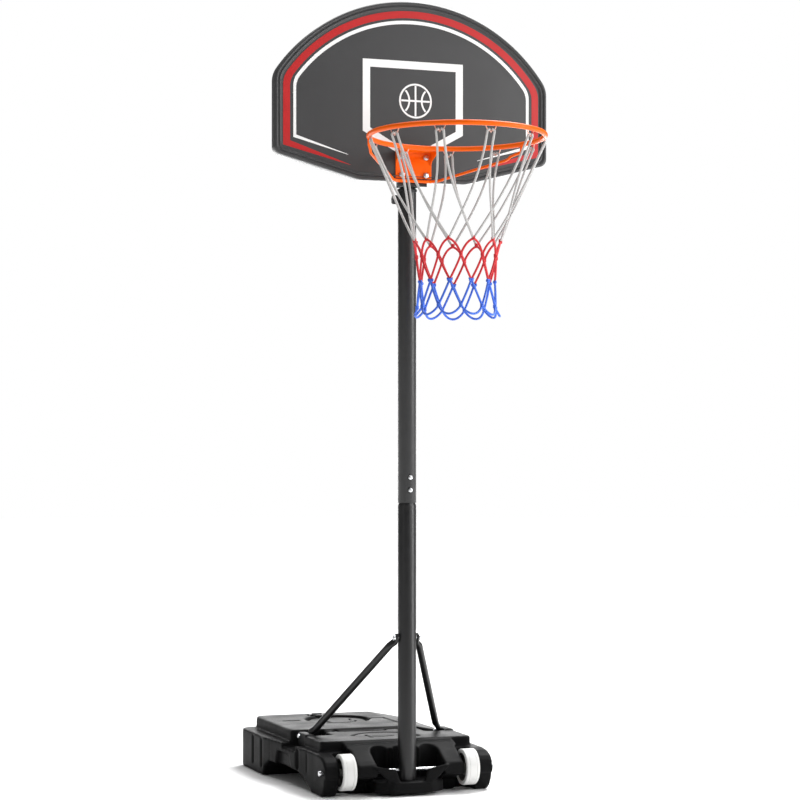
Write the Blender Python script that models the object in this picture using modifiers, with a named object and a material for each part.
"""Portable basketball hoop: a wheeled ballast base, a two-piece pole with struts, a height slide,
a moulded backboard, and a steel rim with a net.

Units are metres, +Z is up and the board faces -Y. Every piece is modelled about the pole, which
stands on the empty "hoop_origin"; the moving pieces hang from empties on their joint axes.
"""
import math

import bmesh
import bpy
from mathutils import Matrix, Vector

NAME = "portable_basketball_hoop"
GAP = 0.0003                       # clearance between pieces that touch

# Pole and height slide
POLE_R = 0.0225                    # outer radius of both pole pieces
POLE_WALL = 0.0015
POLE_FOOT_Z = 0.0083
POLE_JOINT_Z = 0.710
SWAGE_R = 0.0206                   # lower pole's reduced end, inside the upper pole
SWAGE_TOP_Z = 0.800
POLE_TOP_Z = 1.4690
COLLAR_TOP_Z = 1.4770
INNER_R = 0.0190
INNER_BOTTOM_Z = 0.812
INNER_TOP_Z = 1.7620
JOINT_BOLT_Z = (0.7413, 0.7722)
LOCK_Z = 1.4500

# Backboard
BOARD_FACE_Y = -0.0446
BOARD_BEAD_Y = -0.0496
BOARD_SKIN = 0.004
BOARD_BACK_Y = -0.0215
BOARD_HALF_W = 0.350
BOARD_BOTTOM_Z = 1.4885
BOARD_FLAT_HALF = 0.137
BOARD_CORNER_Z = 1.5450
BOARD_ARC_R = 0.415
BOARD_ARC_Z = 1.510                # height of the top arc's centre
BOARD_SHOULDER_R = 0.060
BOARD_LIP = 0.012
BOARD_NOTCH_Z = (1.4700, 1.5050)   # the bottom lip is cut away for the brackets
BRACKET_HALF_W = 0.037
BRACKET_T = 0.003
BRACKET_EAR_X = 0.0196             # inner face of the ears beside the inner tube
LOWER_BRACKET_Z = (1.4790, 1.5700)
UPPER_BRACKET_Z = (1.7000, 1.7450)
LOWER_CROSS_BOLT_Z = 1.5270
UPPER_CROSS_BOLT_Z = 1.7225
UPPER_SCREW_X = 0.0300
LOWER_PLATE_Y = BOARD_FACE_Y + BOARD_SKIN + GAP     # front faces of the two brackets' plates
UPPER_PLATE_Y = LOWER_PLATE_Y + 0.0040

# Rim and net
RIM_Y = -0.3415
RIM_Z = 1.5577
RIM_R = 0.2024                     # centre line of the ring
RIM_ROD_R = 0.0060
PLATE_HALF_W = 0.0460
PLATE_Z = (1.4870, 1.5640)
PLATE_T = 0.003
RIM_BOLT_X = 0.0310
RIM_BOLT_Z = (1.5050, 1.5485)
BRACE_R = 0.0033
BRACE_LOW_Z = 1.4906               # where the brace crosses the foot of the plate
BRACE_BEND = Vector((0.1624, -0.2166, 1.5231))
BRACE_TURN = math.radians(110.5)   # where the brace meets the ring, from the front
HOOKS = 11
HOOK_START = math.radians(1)
HOOK_WIRE_R = 0.0014
NET_PROFILE = ((1.5370, 0.1950), (1.3163, 0.1030), (1.2783, 0.0945),
               (1.2219, 0.0890), (1.1626, 0.0935), (1.1420, 0.1010))    # (height, outer radius)
NET_T = 0.0030

# Struts
STRUT_R = 0.0095
STRUT_TOP = Vector((0.0268, 0.0, 0.3815))
STRUT_FOOT = Vector((0.1720, 0.2515, 0.1190))
STRUT_FLAT_T = 0.0050              # thickness of the flattened ends

# Bolts: shank radius, hole radius and width across flats
M6 = (0.0030, 0.0033, 0.0100)
M6_FLANGED = (0.0030, 0.0033, 0.0125)
M8 = (0.0040, 0.0043, 0.0130)

# Base tank
BASE_REAR_Y = 0.650
BASE_REAR_HALF = 0.2456
BASE_FRONT_HALF = 0.2170
SHELF_Z = 0.100
FRONT_DECK_Z = 0.125
REAR_DECK_Z = 0.130
CHANNEL_Y = (0.205, 0.290)         # cross channel that holds the strut feet
CHANNEL_Z = 0.088
CHANNEL_INNER_X = 0.125
SLOT_X = (0.1380, 0.1790)          # wheel slots
LIP_TOP_Z = 0.034
LIP_HALF_W = 0.098
LIP_FRONT_Y = -0.050
ALCOVE_HALF_W = 0.0860             # open space round the pole's foot
FILLER = Vector((-0.045, 0.600, 0.0))
FILLER_HOLE_R = 0.0160
FILLER_NECK_R = 0.0195
FILLER_RECESS_R = 0.0250
FILLER_RECESS_Z = 0.1225
FILLER_NECK_Z = 0.1245
DISH = Vector((-0.020, 0.495, REAR_DECK_Z))
DISH_R = 0.088
DISH_DEPTH = 0.005
FLUTE_R = 0.0115                   # upright grooves in the sides
FRONT_FLUTES_Y = (0.120, 0.190)
REAR_FLUTES_Y = (0.372, 0.440, 0.520)
LUG_X = (0.1760, 0.1980)           # lugs that the strut feet are bolted to
LUG_Y = (0.2000, 0.2665)
LUG_TOP_Z = 0.1285

# Wheels
AXLE_Z = 0.0586
AXLE_R = 0.0040
AXLE_HALF = 0.2245
WHEEL_X = 0.1585
WHEEL_R = 0.0444
WHEEL_HALF_W = 0.0170
TYRE_INNER_R = 0.0345
HUB_WINDOWS = 5
WINDOW_R = 0.0070
WINDOW_CIRCLE_R = 0.0205

# The origin is the centre of the whole hoop's footprint, so the pole stands a little in front of it
FRONT_REACH = RIM_R + RIM_ROD_R - RIM_Y
POLE_Y = (FRONT_REACH - BASE_REAR_Y) / 2

COLOURS = {
    "black_hdpe": ((0.012, 0.012, 0.013), 0.45, 0.0),
    "board_plastic": ((0.085, 0.087, 0.090), 0.45, 0.0),
    "black_steel": ((0.018, 0.018, 0.019), 0.38, 0.3),
    "orange_steel": ((0.80, 0.17, 0.012), 0.35, 0.2),
    "zinc": ((0.62, 0.63, 0.64), 0.28, 1.0),
    "white_tyre": ((0.80, 0.80, 0.78), 0.50, 0.0),
    "grey_hub": ((0.10, 0.10, 0.09), 0.50, 0.0),
    "net_cord": ((0.82, 0.82, 0.80), 0.85, 0.0),
    "black_rubber": ((0.010, 0.010, 0.010), 0.80, 0.0),
    "black_knob": ((0.015, 0.015, 0.016), 0.40, 0.0),
}


# ---------------------------------------------------------------- scene helpers

def clear_scene():
    for old in list(bpy.data.objects):
        bpy.data.objects.remove(old, do_unlink=True)


def collection(name):
    made = bpy.data.collections.new(name)
    bpy.context.scene.collection.children.link(made)
    return made


def empty(name, where, parent=None):
    made = bpy.data.objects.new(name, None)
    made.empty_display_size = 0.05
    made.location = where
    made.parent = parent
    PARTS.objects.link(made)
    return made


def material(node, finish):
    colour, roughness, metallic = COLOURS[finish]
    made = bpy.data.materials.new(node)
    made.use_nodes = True
    shader = made.node_tree.nodes["Principled BSDF"]
    shader.inputs["Base Color"].default_value = (*colour, 1.0)
    shader.inputs["Roughness"].default_value = roughness
    shader.inputs["Metallic"].default_value = metallic
    made.diffuse_color = (*colour, 1.0)
    return made


def part(obj, name, finish, holder):
    """Name a finished solid, give it its material and hang it from its empty."""
    obj.name = name
    obj.data.name = name
    obj.data.materials.clear()
    obj.data.materials.append(material(name, finish))
    obj.parent = holder
    obj.location -= holder.matrix_local.translation if holder.parent else Vector()
    return obj


def boolean(target, tool, operation):
    """Cut, join or intersect a solid with a tool that is kept in the cutters collection."""
    step = target.modifiers.new(operation.lower(), "BOOLEAN")
    step.operation = operation
    step.solver = "EXACT"
    step.object = tool
    PARTS.objects.unlink(tool)
    CUTTERS.objects.link(tool)
    tool.parent = ORIGIN
    tool.hide_render = True
    tool.display_type = "WIRE"
    return target


def cut(target, tool):
    return boolean(target, tool, "DIFFERENCE")


def join(target, tool):
    return boolean(target, tool, "UNION")


def rounded(obj, width, segments=2, angle=40):
    step = obj.modifiers.new("rounded", "BEVEL")
    step.width = width
    step.segments = segments
    step.limit_method = "ANGLE"
    step.angle_limit = math.radians(angle)
    return obj


# ---------------------------------------------------------------- solids

def from_bmesh(bm, name):
    mesh = bpy.data.meshes.new(name)
    bm.to_mesh(mesh)
    bm.free()
    made = bpy.data.objects.new(name, mesh)
    PARTS.objects.link(made)
    return made


def blocks(name, *corners):
    """One mesh of boxes, each given by its low and high corner."""
    bm = bmesh.new()
    for low, high in corners:
        low = Vector(low)
        high = Vector(high)
        size = high - low
        scale = Matrix.Diagonal((*size, 1.0))
        bmesh.ops.create_cube(bm, size=1.0, matrix=Matrix.Translation((low + high) / 2) @ scale)
    return from_bmesh(bm, name)


def rods(name, radius, *ends, sides=16):
    """One mesh of straight round bars, each given by its two end points."""
    bm = bmesh.new()
    for start, end in ends:
        start = Vector(start)
        end = Vector(end)
        along = end - start
        turn = along.to_track_quat("Z", "Y").to_matrix().to_4x4()
        bmesh.ops.create_cone(
            bm, cap_ends=True, segments=sides, radius1=radius, radius2=radius,
            depth=along.length, matrix=Matrix.Translation((start + end) / 2) @ turn)
    return from_bmesh(bm, name)


def turned(name, profile, centre, axis="Z", sides=32):
    """A turned shape: a closed profile of (radius, along) points swept round its axis."""
    bm = bmesh.new()
    ring = [bm.verts.new((radius, 0.0, along)) for radius, along in profile]
    closed = all(radius > 0 for radius, _ in profile)
    pairs = zip(ring, ring[1:] + ring[:1]) if closed else zip(ring, ring[1:])
    for first, second in pairs:
        bm.edges.new((first, second))
    made = from_bmesh(bm, name)
    step = made.modifiers.new("turned", "SCREW")
    step.axis = "Z"
    step.steps = sides
    step.render_steps = sides
    step.use_merge_vertices = True
    step.merge_threshold = 0.00001
    step.use_normal_calculate = True
    solid = as_mesh(made)
    turn = {"Z": Matrix(), "X": Matrix.Rotation(math.pi / 2, 4, "Y")}[axis]
    solid.data.transform(Matrix.Translation(centre) @ turn)
    return solid


def as_mesh(obj):
    """Turn a curve or an object with modifiers into a plain closed mesh."""
    graph = bpy.context.evaluated_depsgraph_get()
    mesh = bpy.data.meshes.new_from_object(obj.evaluated_get(graph))
    bm = bmesh.new()
    bm.from_mesh(mesh)
    bmesh.ops.remove_doubles(bm, verts=bm.verts, dist=0.00002)
    bmesh.ops.recalc_face_normals(bm, faces=bm.faces)
    bm.to_mesh(mesh)
    bm.free()
    made = bpy.data.objects.new(obj.name + "_mesh", mesh)
    made.matrix_world = obj.matrix_world
    PARTS.objects.link(made)
    bpy.data.objects.remove(obj, do_unlink=True)
    return made


def wire(name, points, radius, resolution=2, cyclic=False):
    """A bent rod along a list of points."""
    curve = bpy.data.curves.new(name, "CURVE")
    curve.dimensions = "3D"
    curve.bevel_depth = radius
    curve.bevel_resolution = resolution
    curve.use_fill_caps = True
    spline = curve.splines.new("POLY")
    spline.points.add(len(points) - 1)
    for knot, where in zip(spline.points, points):
        knot.co = (*where, 1.0)
    spline.use_cyclic_u = cyclic
    made = bpy.data.objects.new(name, curve)
    PARTS.objects.link(made)
    bpy.context.view_layer.update()
    return as_mesh(made)


# How an outline's own (x, y) and its thickness lie in the room
PLANES = {
    "plan": Matrix(),
    "front": Matrix(((1, 0, 0, 0), (0, 0, 1, 0), (0, 1, 0, 0), (0, 0, 0, 1))),
    "side": Matrix(((0, 0, 1, 0), (1, 0, 0, 0), (0, 1, 0, 0), (0, 0, 0, 1))),
}


def slab(name, outline, low, high, plane):
    """A flat outline with a thickness from low to high: a plan, a front view or a side view."""
    curve = bpy.data.curves.new(name, "CURVE")
    curve.dimensions = "2D"
    curve.fill_mode = "BOTH"
    curve.extrude = (high - low) / 2
    spline = curve.splines.new("POLY")
    spline.points.add(len(outline) - 1)
    for knot, (across, up) in zip(spline.points, outline):
        knot.co = (across, up, 0.0, 1.0)
    spline.use_cyclic_u = True
    made = bpy.data.objects.new(name, curve)
    PARTS.objects.link(made)
    bpy.context.view_layer.update()
    solid = as_mesh(made)
    solid.data.transform(PLANES[plane] @ Matrix.Translation((0, 0, (low + high) / 2)))
    bm = bmesh.new()
    bm.from_mesh(solid.data)
    bmesh.ops.recalc_face_normals(bm, faces=bm.faces)
    bm.to_mesh(solid.data)
    bm.free()
    return solid


def softened(corners, steps=3):
    """Round the corners of an outline; each corner is (x, y, radius)."""
    points = []
    count = len(corners)
    for index, (x, y, radius) in enumerate(corners):
        here = Vector((x, y))
        if radius == 0:
            points.append((x, y))
            continue
        before = (Vector(corners[index - 1][:2]) - here).normalized()
        after = (Vector(corners[(index + 1) % count][:2]) - here).normalized()
        half = before.angle(after) / 2
        reach = radius / math.tan(half)
        centre = here + (before + after).normalized() * (radius / math.sin(half))
        start = here + before * reach - centre
        sweep = start.angle_signed(here + after * reach - centre)
        for step in range(steps + 1):
            spin = Matrix.Rotation(-sweep * step / steps, 2)
            points.append(tuple(centre + spin @ start))
    return points


def both_sides(right_half):
    """Mirror the right half of an outline, listed from its front or bottom middle outwards."""
    left_half = [(-x, y, *rest) for x, y, *rest in reversed(right_half)]
    return list(right_half) + left_half


def hex_bolt(name, start, end, size, head_t, holder):
    """A zinc hex bolt: the head's face is at start and the shank ends at end."""
    shank_r, _, head_across = size
    start = Vector(start)
    end = Vector(end)
    along = (end - start).normalized()
    head_r = head_across / 2 / math.cos(math.pi / 6)
    bolt = rods(name, head_r, (start, start + along * head_t), sides=6)
    shank = rods(name + "_shank", shank_r, (start + along * head_t / 2, end), sides=12)
    return part(join(bolt, shank), name, "zinc", holder)


def hex_nut(name, start, end, size, holder, finish="zinc"):
    _, hole_r, across = size
    start = Vector(start)
    end = Vector(end)
    reach = (end - start).normalized() * 0.002
    nut = rods(name, across / 2 / math.cos(math.pi / 6), (start, end), sides=6)
    cut(nut, rods(name + "_hole", hole_r, (start - reach, end + reach), sides=12))
    return part(nut, name, finish, holder)


# ---------------------------------------------------------------- base

def base_plan():
    """Lower body seen from above, between the front cheeks and the rear edge."""
    return softened(both_sides([
        (BASE_FRONT_HALF - 0.0006, 0.060, 0.0),
        (BASE_FRONT_HALF + 0.006, 0.180, 0.0),
        (BASE_REAR_HALF, 0.420, 0.0),
        (BASE_REAR_HALF, BASE_REAR_Y, 0.032),
    ]))


def cheek_side():
    """Side view of the cheeks outside the wheels: a rounded nose over a set-back foot."""
    return [(0.120, SHELF_Z), (0.045, SHELF_Z), (0.012, 0.0960), (-0.010, 0.0870), (-0.022, 0.0740),
            (-0.026, 0.0560), (-0.0245, 0.0460), (-0.0180, 0.0430), (-0.0150, 0.0290), (-0.003, 0.0100),
            (0.012, 0.0), (0.120, 0.0)]


def hood_side():
    """Side view of the body between the wheels: the deck rolls over to the axle housing."""
    return [(0.120, FRONT_DECK_Z), (0.085, 0.1240), (0.050, 0.1170), (0.020, 0.1040), (-0.012, 0.0860),
            (-0.030, 0.0780), (-0.036, 0.0720), (-0.036, 0.0480), (-0.020, 0.0440), (0.024, 0.0300),
            (0.030, 0.0040), (0.040, 0.0), (0.120, 0.0)]


def arch_side():
    """Side view of the hollow under the middle of the base."""
    return [(0.080, -0.010), (0.100, 0.008), (0.150, 0.030), (0.200, 0.040), (0.385, 0.042),
            (0.415, 0.024), (0.432, -0.010)]


def base_body(holder):
    tank = slab("base_tank", base_plan(), 0.0, SHELF_Z, "plan")
    trim = 0.006                   # overlap that the slots and the channel cut away
    hood = slab("hood", hood_side(), -SLOT_X[0] - trim, SLOT_X[0] + trim, "side")
    join(tank, hood)
    for side in (-1, 1):
        inner, outer = sorted((side * (SLOT_X[1] - trim), side * BASE_FRONT_HALF))
        join(tank, slab("cheek", cheek_side(), inner, outer, "side"))
    front_deck = softened(both_sides([
        (0.197, 0.072, 0.012), (0.199, CHANNEL_Y[0] + trim, 0.0), (0.132, CHANNEL_Y[0] + trim, 0.0),
        (0.132, CHANNEL_Y[1] + 0.02, 0.0)]))
    join(tank, slab("front_deck", front_deck, SHELF_Z - 0.01, FRONT_DECK_Z, "plan"))
    rear_deck = softened(both_sides([
        (0.209, CHANNEL_Y[1] - trim, 0.0), (0.209, BASE_REAR_Y - 0.008, 0.030)]))
    join(tank, rounded(slab("rear_deck", rear_deck, SHELF_Z - 0.02, REAR_DECK_Z, "plan"), 0.006, 2, 60))
    lip = softened(both_sides([
        (0.050, LIP_FRONT_Y, 0.014), (LIP_HALF_W - 0.010, LIP_FRONT_Y + 0.030, 0.014),
        (LIP_HALF_W, 0.060, 0.0)]))
    join(tank, slab("lip", lip, 0.006, LIP_TOP_Z, "plan"))
    return part(tank, "base_tank", "black_hdpe", holder)


def base_cuts(tank):
    """Wheel slots, strut channel, pole alcove, arch, pockets, flutes, dish and holes."""
    for side in (-1, 1):
        low, high = sorted((side * SLOT_X[0], side * SLOT_X[1]))
        cut(tank, blocks("wheel_slot", ((low, -0.100, -0.010), (high, 0.049, 0.1085))))
        low, high = sorted((side * CHANNEL_INNER_X, side * 0.300))
        channel = ((low, CHANNEL_Y[0], CHANNEL_Z), (high, CHANNEL_Y[1], 0.200))
        cut(tank, blocks("strut_channel", channel))
        low, high = sorted((side * LUG_X[0], side * LUG_X[1]))
        lug = ((low, LUG_Y[0], CHANNEL_Z - 0.010), (high, LUG_Y[1], LUG_TOP_Z))
        join(tank, blocks("strut_lug", lug))
    cut(tank, slab("arch", arch_side(), -0.300, 0.300, "side"))
    right_slope = [
        (0.112, REAR_DECK_Z + 0.0002), (0.300, REAR_DECK_Z - 0.0357), (0.300, 0.200), (0.112, 0.200)]
    cut(tank, slab("right_slope", right_slope, CHANNEL_Y[1] - 0.020, BASE_REAR_Y + 0.050, "front"))
    pole_alcove(tank)
    side_details(tank)
    dish_floor = DISH - Vector((0, 0, DISH_DEPTH))
    cut(tank, rods("dish", DISH_R, (dish_floor, DISH + Vector((0, 0, 0.02))), sides=40))
    cut(tank, rods("pole_socket", POLE_R + 0.0005, ((0, 0, POLE_FOOT_Z - GAP), (0, 0, 0.100)), sides=32))
    cut(tank, rods("axle_hole", AXLE_R + GAP, ((-0.300, 0, AXLE_Z), (0.300, 0, AXLE_Z)), sides=16))
    spot = STRUT_FOOT
    lug_bolts = [((x - 0.040, spot.y, spot.z), (x + 0.040, spot.y, spot.z)) for x in (-0.190, 0.190)]
    cut(tank, rods("lug_bolt_holes", M6[1], *lug_bolts, sides=12))


def pole_alcove(tank):
    """The open space round the pole's foot: two scallops a side, and wings that brace the axle housing."""
    cut(tank, blocks("alcove", ((-ALCOVE_HALF_W, -0.0600, LIP_TOP_Z), (ALCOVE_HALF_W, 0.0210, 0.200))))
    for x, y, radius in ((-0.0635, 0.0205, 0.0222), (0.0635, 0.0205, 0.0222),
                         (-0.0330, 0.0225, 0.0096), (0.0330, 0.0225, 0.0096)):
        cut(tank, rods("scallop", radius, ((x, y, LIP_TOP_Z), (x, y, 0.200)), sides=28))
    cut(tank, blocks("pole_bay", ((-0.0245, -0.0200, LIP_TOP_Z), (0.0245, 0.0380, 0.200))))
    for side in (-1, 1):
        corners = ((0.0980, 0.0720), (0.0860, 0.0735), (0.0400, 0.0640), (0.0290, 0.0300), (0.0560, 0.0300))
        wing = [(side * x, z) for x, z in corners]
        join(tank, slab("wing", wing, -0.0440, -0.0340, "front"))


def side_details(tank):
    """A hand hold in each side, and upright grooves that stiffen the walls."""
    pocket = [(0.228, 0.036), (0.243, 0.0750), (0.322, 0.0750), (0.338, 0.036)]
    for side in (-1, 1):
        low, high = sorted((side * 0.226, side * 0.300))
        cut(tank, slab("side_pocket", pocket, low, high, "side"))
        rear_x = side * (BASE_REAR_HALF + 0.006)
        front_x = side * (BASE_FRONT_HALF + 0.0115)
        flutes = [((rear_x, y, 0.020), (rear_x, y, 0.094)) for y in REAR_FLUTES_Y]
        flutes += [((front_x, y, 0.045), (front_x, y, 0.094)) for y in FRONT_FLUTES_Y]
        cut(tank, rods("flutes", FLUTE_R, *flutes, sides=14))


def ballast_space(tank):
    """One connected hollow for water or sand, open at the filler neck; walls are 4 to 8 mm."""
    recess = (FILLER + Vector((0, 0, FILLER_RECESS_Z)), FILLER + Vector((0, 0, 0.200)))
    cut(tank, rods("filler_recess", FILLER_RECESS_R, recess, sides=32))
    neck_foot = FILLER + Vector((0, 0, FILLER_RECESS_Z - 0.001))
    neck_top = FILLER + Vector((0, 0, FILLER_NECK_Z))
    join(tank, rods("filler_neck", FILLER_NECK_R, (neck_foot, neck_top), sides=28))
    hollow = blocks("ballast_space", ((-0.2210, 0.2965, 0.0470), (0.2210, 0.6430, 0.0945)))
    rooms = {
        "ballast_feet": ((-0.2200, 0.4380, 0.0060), (0.2200, 0.6420, 0.0600)),
        "ballast_top": ((-0.2020, 0.2975, 0.0900), (0.1120, 0.6350, 0.1180)),
        "ballast_right": ((0.1000, 0.2985, 0.0850), (0.2010, 0.6340, 0.1070)),
        "ballast_bridge": ((-0.1180, 0.1500, 0.0480), (0.1180, 0.3100, 0.1190)),
        "ballast_floor": ((-0.2100, 0.1600, 0.0490), (0.2100, 0.3120, 0.0825)),
        "ballast_front": ((-0.1900, 0.0780, 0.0400), (0.1900, 0.1985, 0.1180)),
        "ballast_cheeks": ((-0.2090, 0.0580, 0.0450), (0.2090, 0.1975, 0.0935)),
    }
    for name, corners in rooms.items():
        join(hollow, blocks(name, corners))
    ends = (FILLER + Vector((0, 0, 0.0900)), FILLER + Vector((0, 0, 0.2000)))
    join(hollow, rods("ballast_neck", FILLER_HOLE_R, ends, sides=28))
    cut(tank, hollow)


def filler_cap(holder):
    inner = FILLER_HOLE_R + GAP
    outer = FILLER_NECK_R - 0.0002
    low = FILLER_NECK_Z + GAP
    high = low + 0.0012
    section = [(inner, low), (outer, low), (outer, high), (inner, high)]
    gasket = turned("filler_gasket", section, FILLER, sides=28)
    part(gasket, "filler_gasket", "black_rubber", holder)
    low = high + GAP
    plug_r = FILLER_HOLE_R - 0.0008
    profile = [
        (0.0, low - 0.012), (plug_r - 0.0012, low - 0.012), (plug_r, low - 0.010), (plug_r, low),
        (0.0208, low), (0.0208, low + 0.0042), (0.0192, low + 0.0056), (0.0, low + 0.0056)]
    cap = turned("filler_cap", profile, FILLER, sides=28)
    grip_low = FILLER + Vector((-0.014, -0.0022, low + 0.0030))
    grip_high = FILLER + Vector((0.014, 0.0022, low + 0.0085))
    join(cap, blocks("cap_grip", (grip_low, grip_high)))
    part(cap, "filler_cap", "black_hdpe", holder)


# ---------------------------------------------------------------- wheels

def wheel(side, holder):
    """A plastic tread on a five-window hub."""
    name = "left" if side < 0 else "right"
    centre = (side * WHEEL_X, 0.0, AXLE_Z)
    half = WHEEL_HALF_W
    chamfer = 0.002
    tyre = turned("wheel_tyre", [
        (TYRE_INNER_R, -half), (WHEEL_R - chamfer, -half), (WHEEL_R, -half + chamfer),
        (WHEEL_R, half - chamfer), (WHEEL_R - chamfer, half), (TYRE_INNER_R, half)], centre, "X", 48)
    part(tyre, "wheel_tyre_" + name, "white_tyre", holder)
    outer = TYRE_INNER_R - GAP
    bore = AXLE_R + GAP
    boss = 0.0095
    rim = outer - 0.003
    web = 0.0030
    hub = turned("wheel_hub", [
        (bore, -0.0160), (boss, -0.0160), (boss, -web), (rim, -web), (rim, -0.0150), (outer, -0.0150),
        (outer, 0.0150), (rim, 0.0150), (rim, web), (boss, web), (boss, 0.0160), (bore, 0.0160)],
        centre, "X", 40)
    windows = []
    for index in range(HUB_WINDOWS):
        turn = 2 * math.pi * (index + 0.25) / HUB_WINDOWS
        spot = Vector(centre) + WINDOW_CIRCLE_R * Vector((0, math.sin(turn), math.cos(turn)))
        windows.append((spot - Vector((0.01, 0, 0)), spot + Vector((0.01, 0, 0))))
    cut(hub, rods("hub_windows", WINDOW_R, *windows, sides=12))
    part(hub, "wheel_hub_" + name, "grey_hub", holder)


def axle(holder):
    rod = rods("axle_rod", AXLE_R, ((-AXLE_HALF, 0, AXLE_Z), (AXLE_HALF, 0, AXLE_Z)), sides=20)
    part(rod, "axle_rod", "zinc", holder)
    for side, name in ((-1, "left"), (1, "right")):
        face = side * (BASE_FRONT_HALF + GAP)
        cap = rods("axle_cap", 0.0068, ((face, 0, AXLE_Z), (face + side * 0.0090, 0, AXLE_Z)), sides=20)
        hole = ((face - side * 0.002, 0, AXLE_Z), (side * (AXLE_HALF + GAP), 0, AXLE_Z))
        cut(cap, rods("axle_cap_hole", AXLE_R + GAP, hole, sides=16))
        part(cap, "axle_cap_" + name, "zinc", holder)


# ---------------------------------------------------------------- pole and struts

def pole_bolt_holes(tube, name):
    ends = [((0, -0.040, z), (0, 0.040, z)) for z in JOINT_BOLT_Z]
    cut(tube, rods(name, M6[1], *ends, sides=12))


def poles(holder):
    inner = POLE_R - POLE_WALL
    swage = SWAGE_R
    lower = turned("lower_pole", [
        (inner, POLE_FOOT_Z), (POLE_R, POLE_FOOT_Z), (POLE_R, POLE_JOINT_Z - 0.006), (swage, POLE_JOINT_Z),
        (swage, SWAGE_TOP_Z), (swage - POLE_WALL, SWAGE_TOP_Z), (swage - POLE_WALL, POLE_JOINT_Z - 0.002),
        (inner, POLE_JOINT_Z - 0.010)], (0, 0, 0), sides=40)
    cut(lower, rods("lower_axle_hole", AXLE_R + GAP, ((-0.04, 0, AXLE_Z), (0.04, 0, AXLE_Z)), sides=16))
    top_z = STRUT_TOP.z
    cut(lower, rods("strut_bolt_hole", M8[1], ((-0.04, 0, top_z), (0.04, 0, top_z)), sides=12))
    pole_bolt_holes(lower, "lower_joint_holes")
    part(lower, "lower_pole", "black_steel", holder)
    upper = turned("upper_pole", [
        (inner, POLE_JOINT_Z + GAP), (POLE_R, POLE_JOINT_Z + GAP), (POLE_R, POLE_TOP_Z), (inner, POLE_TOP_Z)],
        (0, 0, 0), sides=40)
    pole_bolt_holes(upper, "upper_joint_holes")
    cut(upper, rods("lock_hole", 0.0045, ((-0.040, 0, LOCK_Z), (0.0, 0, LOCK_Z)), sides=14))
    part(upper, "upper_pole", "black_steel", holder)
    plug_r = inner - GAP
    plug = turned("pole_foot_plug", [
        (0.0, POLE_FOOT_Z), (plug_r - 0.002, POLE_FOOT_Z), (plug_r, POLE_FOOT_Z + 0.002), (plug_r, 0.040),
        (plug_r - 0.004, 0.040), (plug_r - 0.004, 0.016), (0.0, 0.016)], (0, 0, 0), sides=32)
    part(plug, "pole_foot_plug", "black_hdpe", holder)
    guide = INNER_R + GAP
    skirt = POLE_R - POLE_WALL - GAP
    collar = turned("pole_collar", [
        (guide, POLE_TOP_Z - 0.010), (skirt, POLE_TOP_Z - 0.010), (skirt, POLE_TOP_Z + GAP),
        (POLE_R + 0.0018, POLE_TOP_Z + GAP), (POLE_R + 0.0018, COLLAR_TOP_Z - 0.002),
        (POLE_R, COLLAR_TOP_Z), (guide, COLLAR_TOP_Z)], (0, 0, 0), sides=40)
    part(collar, "pole_collar", "black_hdpe", holder)


def joint_bolts(holder):
    for z, name in zip(JOINT_BOLT_Z, ("lower", "upper")):
        head_y = -(POLE_R + GAP)
        hex_bolt("joint_bolt_" + name, (0, head_y - 0.0045, z), (0, POLE_R + 0.0075, z), M6, 0.0045, holder)
        hex_nut("joint_nut_" + name, (0, POLE_R + GAP, z), (0, POLE_R + 0.0055, z), M6, holder)


def strut(side, holder):
    """A round tube with both ends pressed flat against the pole and the base lug."""
    name = "left" if side < 0 else "right"
    top = Vector((side * STRUT_TOP.x, STRUT_TOP.y, STRUT_TOP.z))
    foot = Vector((side * STRUT_FOOT.x, STRUT_FOOT.y, STRUT_FOOT.z))
    along = (foot - top).normalized()
    tube = wire("strut", [top + along * 0.030, foot - along * 0.030], STRUT_R, 4)
    half_t = STRUT_FLAT_T / 2
    for spot, inward in ((top, along), (foot, -along)):
        flat = flat_end(spot, inward, half_t)
        join(tube, flat)
    reach = Vector((0.012, 0, 0))
    cut(tube, rods("strut_top_hole", M8[1], (top - reach, top + reach), sides=12))
    cut(tube, rods("strut_foot_hole", M6[1], (foot - reach, foot + reach), sides=12))
    part(tube, "strut_" + name, "black_steel", holder)


def flat_end(spot, inward, half_t):
    """The pressed end: an upright tab about the bolt, tapering into the round tube."""
    slope = math.atan2(inward.z, inward.y)
    shift = inward.x / math.hypot(inward.y, inward.z)
    reach = 0.040
    half_w = 0.0105
    tip = -0.011
    corner = 0.008
    outline = softened([
        (tip, -half_w, corner), (reach, -half_w, 0.0), (reach, half_w, 0.0), (tip, half_w, corner)])
    tab = slab("flat_end", outline, -half_t, half_t, "side")
    bm = bmesh.new()
    bm.from_mesh(tab.data)
    near = 0.012
    everything = bm.verts[:] + bm.edges[:] + bm.faces[:]
    bmesh.ops.bisect_plane(bm, geom=everything, plane_co=(0, near, 0), plane_no=(0, 1, 0))
    for vertex in bm.verts:
        if vertex.co.y > near + 0.001:
            vertex.co.z *= 0.62
            vertex.co.x = vertex.co.x * 2.0 + shift * vertex.co.y
    bmesh.ops.recalc_face_normals(bm, faces=bm.faces)
    bm.to_mesh(tab.data)
    bm.free()
    tab.data.transform(Matrix.Translation(spot) @ Matrix.Rotation(slope, 4, "X"))
    return tab


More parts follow.
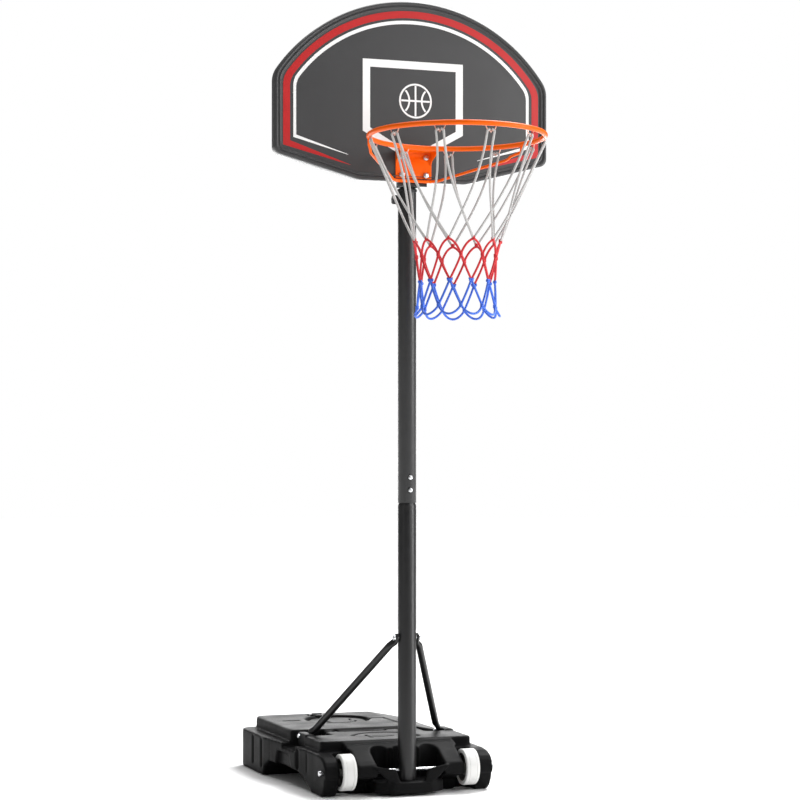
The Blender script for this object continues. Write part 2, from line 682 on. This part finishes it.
def strut_fasteners(holder):
    z = STRUT_TOP.z
    outer = STRUT_TOP.x + STRUT_FLAT_T / 2 + GAP
    hex_bolt("strut_top_bolt", (outer + 0.0050, 0, z), (-outer - 0.0085, 0, z), M8, 0.0050, holder)
    hex_nut("strut_top_nut", (-outer, 0, z), (-outer - 0.0065, 0, z), M8, holder)
    y = STRUT_FOOT.y
    z = STRUT_FOOT.z
    for side, name in ((-1, "left"), (1, "right")):
        head = side * (LUG_X[1] + GAP)
        tail = side * (STRUT_FOOT.x - STRUT_FLAT_T / 2 - GAP)
        start = (head + side * 0.0045, y, z)
        hex_bolt("strut_foot_bolt_" + name, start, (tail - side * 0.0075, y, z), M6, 0.0045, holder)
        hex_nut("strut_foot_nut_" + name, (tail, y, z), (tail - side * 0.0050, y, z), M6, holder)


# ---------------------------------------------------------------- height slide

def inner_tube(holder):
    bore = INNER_R - POLE_WALL
    tube = turned("inner_tube", [
        (bore, INNER_BOTTOM_Z), (INNER_R, INNER_BOTTOM_Z), (INNER_R, INNER_TOP_Z), (bore, INNER_TOP_Z)],
        (0, 0, 0), sides=36)
    ends = [((-0.040, 0, z), (0.040, 0, z)) for z in (LOWER_CROSS_BOLT_Z, UPPER_CROSS_BOLT_Z)]
    cut(tube, rods("cross_bolt_holes", M8[1], *ends, sides=12))
    part(tube, "inner_tube", "black_steel", holder)
    low = INNER_TOP_Z + GAP
    plug_r = bore - GAP
    brim_r = INNER_R + 0.0008
    cap = turned("tube_cap", [
        (0.0, low - 0.010), (plug_r, low - 0.010), (plug_r, low), (brim_r, low), (brim_r, low + 0.003),
        (brim_r - 0.0028, low + 0.005), (0.0, low + 0.005)], (0, 0, 0), sides=32)
    part(cap, "tube_cap", "black_hdpe", holder)


def pole_bracket(name, span_z, plate_y, bolt_z, plate_holes, holder):
    """A folded steel bracket: a plate behind the board and two ears beside the inner tube."""
    low_z, high_z = span_z
    bracket = blocks(name, ((-BRACKET_HALF_W, plate_y, low_z), (BRACKET_HALF_W, plate_y + BRACKET_T, high_z)))
    for side in (-1, 1):
        inner, outer = sorted((side * BRACKET_EAR_X, side * (BRACKET_EAR_X + BRACKET_T)))
        join(bracket, blocks("ear", ((inner, plate_y + 0.001, low_z), (outer, 0.0140, high_z))))
    cut(bracket, rods("ear_holes", M8[1], ((-0.040, 0, bolt_z), (0.040, 0, bolt_z)), sides=12))
    ends = [((x, plate_y - 0.010, z), (x, plate_y + 0.010, z)) for x, z in plate_holes]
    cut(bracket, rods("plate_holes", M6[1], *ends, sides=12))
    part(bracket, name, "black_steel", holder)
    outer = BRACKET_EAR_X + BRACKET_T + GAP
    label = name.split("_")[0]
    start = (outer + 0.0050, 0, bolt_z)
    hex_bolt(label + "_cross_bolt", start, (-outer - 0.0085, 0, bolt_z), M8, 0.0050, holder)
    hex_nut(label + "_cross_nut", (-outer, 0, bolt_z), (-outer - 0.0065, 0, bolt_z), M8, holder)


def lock(holder, knob_holder):
    """The clamp screw: a nut on the pole, and a knob whose screw presses on the inner tube."""
    nut_in = -(POLE_R + GAP)
    nut_out = nut_in - 0.0036
    nut_size = (M8[0], M8[1], 0.0140)
    hex_nut("lock_nut", (nut_in, 0, LOCK_Z), (nut_out, 0, LOCK_Z), nut_size, holder, "black_steel")
    knob_in = nut_out - GAP
    knob_out = knob_in - 0.0105
    knob_r = 0.0112
    grooves = 7
    groove_r = 0.0030
    groove_circle_r = knob_r + 0.0016
    knob = rods("lock_knob", knob_r, ((knob_in, 0, LOCK_Z), (knob_out, 0, LOCK_Z)), sides=28)
    flutes = []
    for index in range(grooves):
        turn = 2 * math.pi * index / grooves
        spot = Vector((0, groove_circle_r * math.sin(turn), LOCK_Z + groove_circle_r * math.cos(turn)))
        flutes.append((spot + Vector((knob_in + 0.002, 0, 0)), spot + Vector((knob_out - 0.002, 0, 0))))
    cut(knob, rods("knob_flutes", groove_r, *flutes, sides=10))
    bore_end = (knob_in - 0.0073, 0, LOCK_Z)
    cut(knob, rods("knob_bore", M8[1], ((knob_in + 0.002, 0, LOCK_Z), bore_end), sides=12))
    part(knob, "lock_knob", "black_knob", knob_holder)
    tip_x = -(INNER_R + 0.0005)
    screw = rods("lock_screw", M8[0], ((tip_x, 0, LOCK_Z), (knob_in - 0.0070, 0, LOCK_Z)), sides=16)
    part(screw, "lock_screw", "zinc", knob_holder)


# ---------------------------------------------------------------- backboard

def board_outline(inset):
    """The board's front view: a flat bottom, slanted sides, upright edges, shoulders, a round top."""
    half_w = BOARD_HALF_W - inset
    radius = BOARD_ARC_R - inset
    fillet = BOARD_SHOULDER_R - inset
    shoulder_x = half_w - fillet
    shoulder_z = BOARD_ARC_Z + math.sqrt((radius - fillet) ** 2 - shoulder_x ** 2)
    lean = math.atan2(shoulder_x, shoulder_z - BOARD_ARC_Z)
    corners = both_sides([
        (BOARD_FLAT_HALF - inset * 0.15, BOARD_BOTTOM_Z + inset, 0.012),
        (half_w, BOARD_CORNER_Z + inset * 0.72, 0.016),
        (half_w, shoulder_z, 0.0),
    ])
    points = softened(corners)
    half = len(points) // 2
    shoulder = []
    steps = 5
    for step in range(1, steps + 1):
        turn = (math.pi / 2 - lean) * step / steps
        shoulder.append((shoulder_x + fillet * math.cos(turn), shoulder_z + fillet * math.sin(turn)))
    arc = []
    steps = 28
    for step in range(1, steps):
        turn = lean - 2 * lean * step / steps
        arc.append((radius * math.sin(turn), BOARD_ARC_Z + radius * math.cos(turn)))
    left = [(-x, z) for x, z in reversed(shoulder)]
    return points[:half] + shoulder + arc + left + points[half:]


def rim_bolt_lines():
    """Lines through the board and the rim's plate along the four rim bolts."""
    return [((x, -0.060, z), (x, -0.030, z)) for x in (-RIM_BOLT_X, RIM_BOLT_X) for z in RIM_BOLT_Z]


def backboard(holder):
    board = slab("backboard", board_outline(0.0), BOARD_BEAD_Y, BOARD_BACK_Y, "front")
    inside = board_outline(BOARD_LIP)
    cut(board, slab("board_face", inside, BOARD_BEAD_Y - 0.01, BOARD_FACE_Y, "front"))
    cut(board, slab("board_back", inside, BOARD_FACE_Y + BOARD_SKIN, BOARD_BACK_Y + 0.01, "front"))
    notch = BRACKET_HALF_W + 0.0015
    low_z, high_z = BOARD_NOTCH_Z
    cut(board, blocks("pole_notch", ((-notch, BOARD_FACE_Y + BOARD_SKIN, low_z), (notch, 0.0, high_z))))
    seat = PLATE_HALF_W + 0.0015
    cut(board, blocks("bracket_seat", ((-seat, BOARD_BEAD_Y - 0.010, low_z), (seat, BOARD_FACE_Y, high_z))))
    boss_y = UPPER_PLATE_Y - GAP
    z = UPPER_CROSS_BOLT_Z
    both_x = (-UPPER_SCREW_X, UPPER_SCREW_X)
    bosses = [((x, BOARD_FACE_Y + 0.002, z), (x, boss_y, z)) for x in both_x]
    join(board, rods("bosses", 0.0066, *bosses, sides=16))
    screws = [((x, BOARD_FACE_Y + 0.0018, z), (x, boss_y + 0.010, z)) for x in both_x]
    cut(board, rods("boss_holes", 0.0025, *screws, sides=12))
    cut(board, rods("rim_bolt_holes", M6[1], *rim_bolt_lines(), sides=12))
    part(board, "backboard", "board_plastic", holder)
    head_y = UPPER_PLATE_Y + BRACKET_T + GAP
    for x, name in ((-UPPER_SCREW_X, "left"), (UPPER_SCREW_X, "right")):
        screw = rods("board_screw", 0.0044, ((x, head_y, z), (x, head_y + 0.003, z)), sides=16)
        shank = ((x, head_y + 0.001, z), (x, BOARD_FACE_Y + 0.0024, z))
        join(screw, rods("board_screw_shank", 0.0021, shank, sides=12))
        part(screw, "board_screw_" + name, "zinc", holder)


# ---------------------------------------------------------------- rim and net

def rim_ring(holder):
    steps = 72
    turns = [2 * math.pi * step / steps for step in range(steps)]
    circle = [(RIM_R * math.sin(turn), RIM_Y - RIM_R * math.cos(turn), RIM_Z) for turn in turns]
    ring = wire("rim_ring", circle, RIM_ROD_R, 4, cyclic=True)
    for index in range(HOOKS):
        join(ring, net_hook(2 * math.pi * index / HOOKS + HOOK_START))
    part(ring, "rim_ring", "orange_steel", holder)


def net_hook(turn):
    """A small U of wire under the ring, spread along it, that a loop of the net hangs from."""
    half_w = 0.0085
    depth = 0.0095
    out = Vector((math.sin(turn), -math.cos(turn), 0))
    along = Vector((math.cos(turn), math.sin(turn), 0))
    middle = Vector((0, RIM_Y, RIM_Z - 0.0040)) + out * (RIM_R - 0.001)
    points = []
    for step in range(9):
        swing = math.pi * step / 8
        drop = Vector((0, 0, depth * math.sin(swing)))
        points.append(middle - along * (half_w * math.cos(swing)) - drop)
    return wire("net_hook", points, HOOK_WIRE_R, 1)


def rim_bracket(holder):
    """A folded plate: four bolts to the board, a flange out to the ring and two gussets."""
    back = BOARD_FACE_Y - GAP
    front = back - PLATE_T
    low_z, high_z = PLATE_Z
    half_w = PLATE_HALF_W
    bracket = blocks("rim_bracket", ((-half_w, front, low_z), (half_w, back, high_z)))
    ring_back = RIM_Y + RIM_R
    shelf = ((-half_w, ring_back - 0.020, high_z - PLATE_T), (half_w, back - 0.001, high_z))
    flange = blocks("top_flange", shelf)
    seat = ((0, RIM_Y, RIM_Z - 0.02), (0, RIM_Y, RIM_Z + 0.02))
    cut(flange, rods("ring_seat", RIM_R + RIM_ROD_R + GAP, seat, sides=96))
    join(bracket, flange)
    gusset = [
        (front + 0.001, high_z - 0.036), (front - 0.006, high_z - 0.024),
        (front - 0.070, high_z - 0.001), (front + 0.001, high_z - 0.001)]
    for side in (-1, 1):
        low, high = sorted((side * (half_w - PLATE_T), side * half_w))
        join(bracket, slab("gusset", gusset, low, high, "side"))
    cut(bracket, rods("rim_plate_holes", M6[1], *rim_bolt_lines(), sides=12))
    part(bracket, "rim_bracket", "orange_steel", holder)


def rim_brace(holder):
    """One bent rod: across the foot of the plate, out and forward on both sides, up to the ring."""
    plate_y = BOARD_FACE_Y - GAP - PLATE_T
    behind_y = plate_y - GAP - BRACE_R
    tip = Vector((RIM_R * math.sin(BRACE_TURN), RIM_Y - RIM_R * math.cos(BRACE_TURN), RIM_Z))
    rise = (tip - BRACE_BEND).normalized()
    drop = Vector((0, 0, RIM_ROD_R + GAP))
    right = [
        Vector((0.0300, behind_y, BRACE_LOW_Z)), Vector((0.0430, -0.0535, BRACE_LOW_Z)),
        Vector((0.0540, -0.0595, BRACE_LOW_Z)),
        BRACE_BEND - Vector((0.0090, -0.0120, 0.0026)), BRACE_BEND, BRACE_BEND + rise * 0.010,
        tip - drop * 2.6 - rise * 0.004, tip - drop * 1.7, tip - drop,
    ]
    left = [Vector((-spot.x, spot.y, spot.z)) for spot in reversed(right)]
    part(wire("rim_brace", left + right, BRACE_R, 2), "rim_brace", "orange_steel", holder)


def rim_fasteners(holder):
    front = BOARD_FACE_Y - GAP - PLATE_T - GAP
    back = LOWER_PLATE_Y + BRACKET_T + GAP
    names = (("left", -1), ("right", 1))
    for label, z in zip(("lower", "upper"), RIM_BOLT_Z):
        for name, side in names:
            x = side * RIM_BOLT_X
            start = (x, front - 0.0045, z)
            hex_bolt(f"rim_bolt_{label}_{name}", start, (x, back + 0.0070, z), M6_FLANGED, 0.0045, holder)
            hex_nut(f"rim_nut_{label}_{name}", (x, back, z), (x, back + 0.0050, z), M6, holder)


def net(holder):
    """The net's envelope: an open, tapering tube below the hooks."""
    outer = [(radius, z) for z, radius in NET_PROFILE]
    inner = [(radius - NET_T, z) for radius, z in reversed(outer)]
    tube = turned("net", outer + inner, (0, RIM_Y, 0), sides=40)
    part(tube, "net", "net_cord", holder)


# ---------------------------------------------------------------- the hoop

clear_scene()
PARTS = collection(NAME)
CUTTERS = collection(NAME + "_cutters")

ORIGIN = empty("hoop_origin", (0, POLE_Y, 0))
CAP_AXIS = empty("filler_cap_axis", (FILLER.x, FILLER.y, FILLER_NECK_Z), ORIGIN)
WHEEL_AXES = {side: empty(f"wheel_axis_{name}", (side * WHEEL_X, 0, AXLE_Z), ORIGIN)
              for side, name in ((-1, "left"), (1, "right"))}
SLIDE_AXIS = empty("height_slide_axis", (0, 0, COLLAR_TOP_Z), ORIGIN)
KNOB_AXIS = empty("lock_knob_axis", (-POLE_R, 0, LOCK_Z), ORIGIN)

TANK = base_body(ORIGIN)
base_cuts(TANK)
ballast_space(TANK)
filler_cap(CAP_AXIS)
for wheel_side, wheel_axis in WHEEL_AXES.items():
    wheel(wheel_side, wheel_axis)
axle(ORIGIN)
poles(ORIGIN)
joint_bolts(ORIGIN)
for strut_side in (-1, 1):
    strut(strut_side, ORIGIN)
strut_fasteners(ORIGIN)
lock(ORIGIN, KNOB_AXIS)
inner_tube(SLIDE_AXIS)
RIM_HOLES = [(across, height) for across in (-RIM_BOLT_X, RIM_BOLT_X) for height in RIM_BOLT_Z]
pole_bracket("lower_pole_bracket", LOWER_BRACKET_Z, LOWER_PLATE_Y, LOWER_CROSS_BOLT_Z, RIM_HOLES, SLIDE_AXIS)
SCREWS = [(across, UPPER_CROSS_BOLT_Z) for across in (-UPPER_SCREW_X, UPPER_SCREW_X)]
pole_bracket("upper_pole_bracket", UPPER_BRACKET_Z, UPPER_PLATE_Y, UPPER_CROSS_BOLT_Z, SCREWS, SLIDE_AXIS)
backboard(SLIDE_AXIS)
rim_ring(SLIDE_AXIS)
rim_bracket(SLIDE_AXIS)
rim_brace(SLIDE_AXIS)
rim_fasteners(SLIDE_AXIS)
net(SLIDE_AXIS)
